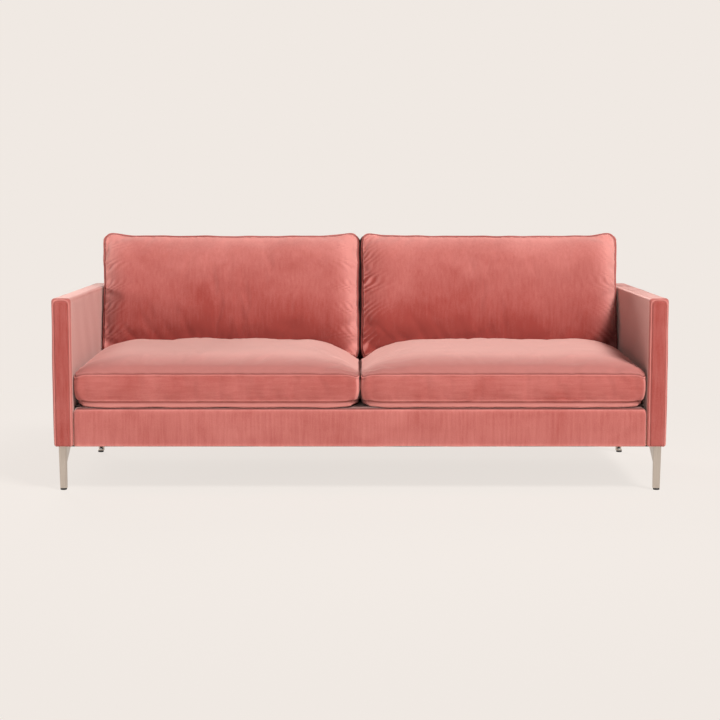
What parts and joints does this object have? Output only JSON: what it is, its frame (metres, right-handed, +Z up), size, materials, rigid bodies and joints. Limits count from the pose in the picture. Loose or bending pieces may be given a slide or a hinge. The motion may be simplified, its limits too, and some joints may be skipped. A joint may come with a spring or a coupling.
{
  "type": "tuxedo sofa",
  "caption": "Tuxedo sofa with arms and back panel of one height, loose boxed seat and back cushions and bent steel legs.",
  "frame": {"origin": "on the floor under the middle of the sofa", "axes": "+Z up, +X along the width to the right as seen from the front, front faces -Y"},
  "size_m": [2.134, 0.94, 0.8746],
  "materials": {
    "frame_velvet": "matte",
    "cushion_velvet": "matte",
    "timber": "matte",
    "foam": "matte",
    "felt": "matte",
    "webbing": "matte",
    "lining": "matte",
    "leg_steel": "satin",
    "fastener_steel": "satin",
    "foot_plastic": "matte",
    "zip_tape": "matte",
    "zip_metal": "satin"
  },
  "bodies": {
    "frame": {"base_front_rail": "timber", "base_rear_rail": "timber", "base_side_rail_left": "timber", "base_side_rail_right": "timber", "base_centre_rail": "timber", "base_corner_blocks": "timber", "seat_webbing_long": "webbing", "seat_webbing_cross": "webbing", "deck_pad": "felt", "deck_cover": "frame_velvet", "front_rail_foam": "foam", "front_rail_cover": "frame_velvet", "dust_cover": "lining", "arm_frame_left": "timber", "arm_frame_right": "timber", "arm_foam_left": "foam", "arm_foam_right": "foam", "arm_cover_left": "frame_velvet", "arm_cover_right": "frame_velvet", "arm_bolts": "fastener_steel", "back_frame": "timber", "back_webbing": "webbing", "back_foam": "foam", "back_cover": "frame_velvet", "back_bolts": "fastener_steel", "leg_front_left": "leg_steel", "leg_front_right": "leg_steel", "leg_rear_left": "leg_steel", "leg_rear_right": "leg_steel", "leg_screws": "fastener_steel", "leveller_nuts": "fastener_steel"},
    "seat_cushion_left": {"seat_core_left": "foam", "seat_cover_left": "cushion_velvet", "seat_zip_left": "zip_tape"},
    "back_cushion_left": {"back_core_left": "foam", "back_cushion_cover_left": "cushion_velvet", "back_zip_left": "zip_tape"},
    "seat_zip_slider_left": {"seat_zip_pull_left": "zip_metal"},
    "back_zip_slider_left": {"back_zip_pull_left": "zip_metal"},
    "seat_cushion_right": {"seat_core_right": "foam", "seat_cover_right": "cushion_velvet", "seat_zip_right": "zip_tape"},
    "back_cushion_right": {"back_core_right": "foam", "back_cushion_cover_right": "cushion_velvet", "back_zip_right": "zip_tape"},
    "seat_zip_slider_right": {"seat_zip_pull_right": "zip_metal"},
    "back_zip_slider_right": {"back_zip_pull_right": "zip_metal"},
    "foot_front_left": {"leveller_front_left": "foot_plastic"},
    "foot_front_right": {"leveller_front_right": "foot_plastic"},
    "foot_rear_left": {"leveller_rear_left": "foot_plastic"},
    "foot_rear_right": {"leveller_rear_right": "foot_plastic"}
  },
  "joints": [
    {"name": "seat_cushion_left_pull", "type": "slide", "parent": "frame", "child": "seat_cushion_left", "axis": [0, -1, 0], "range_m": [0, 0.83]},
    {"name": "seat_cushion_right_pull", "type": "slide", "parent": "frame", "child": "seat_cushion_right", "axis": [0, -1, 0], "range_m": [0, 0.83]},
    {"name": "back_cushion_left_lift", "type": "slide", "parent": "frame", "child": "back_cushion_left", "axis": [0, 0, 1], "range_m": [0, 0.3]},
    {"name": "back_cushion_right_lift", "type": "slide", "parent": "frame", "child": "back_cushion_right", "axis": [0, 0, 1], "range_m": [0, 0.3]},
    {"name": "seat_zip_left_open", "type": "slide", "parent": "seat_cushion_left", "child": "seat_zip_slider_left", "axis": [1, 0, 0], "range_m": [0, 0.86]},
    {"name": "seat_zip_right_open", "type": "slide", "parent": "seat_cushion_right", "child": "seat_zip_slider_right", "axis": [-1, 0, 0], "range_m": [0, 0.86]},
    {"name": "back_zip_left_open", "type": "slide", "parent": "back_cushion_left", "child": "back_zip_slider_left", "axis": [1, 0, 0], "range_m": [0, 0.86]},
    {"name": "back_zip_right_open", "type": "slide", "parent": "back_cushion_right", "child": "back_zip_slider_right", "axis": [-1, 0, 0], "range_m": [0, 0.86]},
    {"name": "foot_front_left_level", "type": "slide", "parent": "frame", "child": "foot_front_left", "axis": [0, 0, -1], "range_m": [0, 0.012]},
    {"name": "foot_front_right_level", "type": "slide", "parent": "frame", "child": "foot_front_right", "axis": [0, 0, -1], "range_m": [0, 0.012]},
    {"name": "foot_rear_left_level", "type": "slide", "parent": "frame", "child": "foot_rear_left", "axis": [0, 0, -1], "range_m": [0, 0.012]},
    {"name": "foot_rear_right_level", "type": "slide", "parent": "frame", "child": "foot_rear_right", "axis": [0, 0, -1], "range_m": [0, 0.012]}
  ]
}
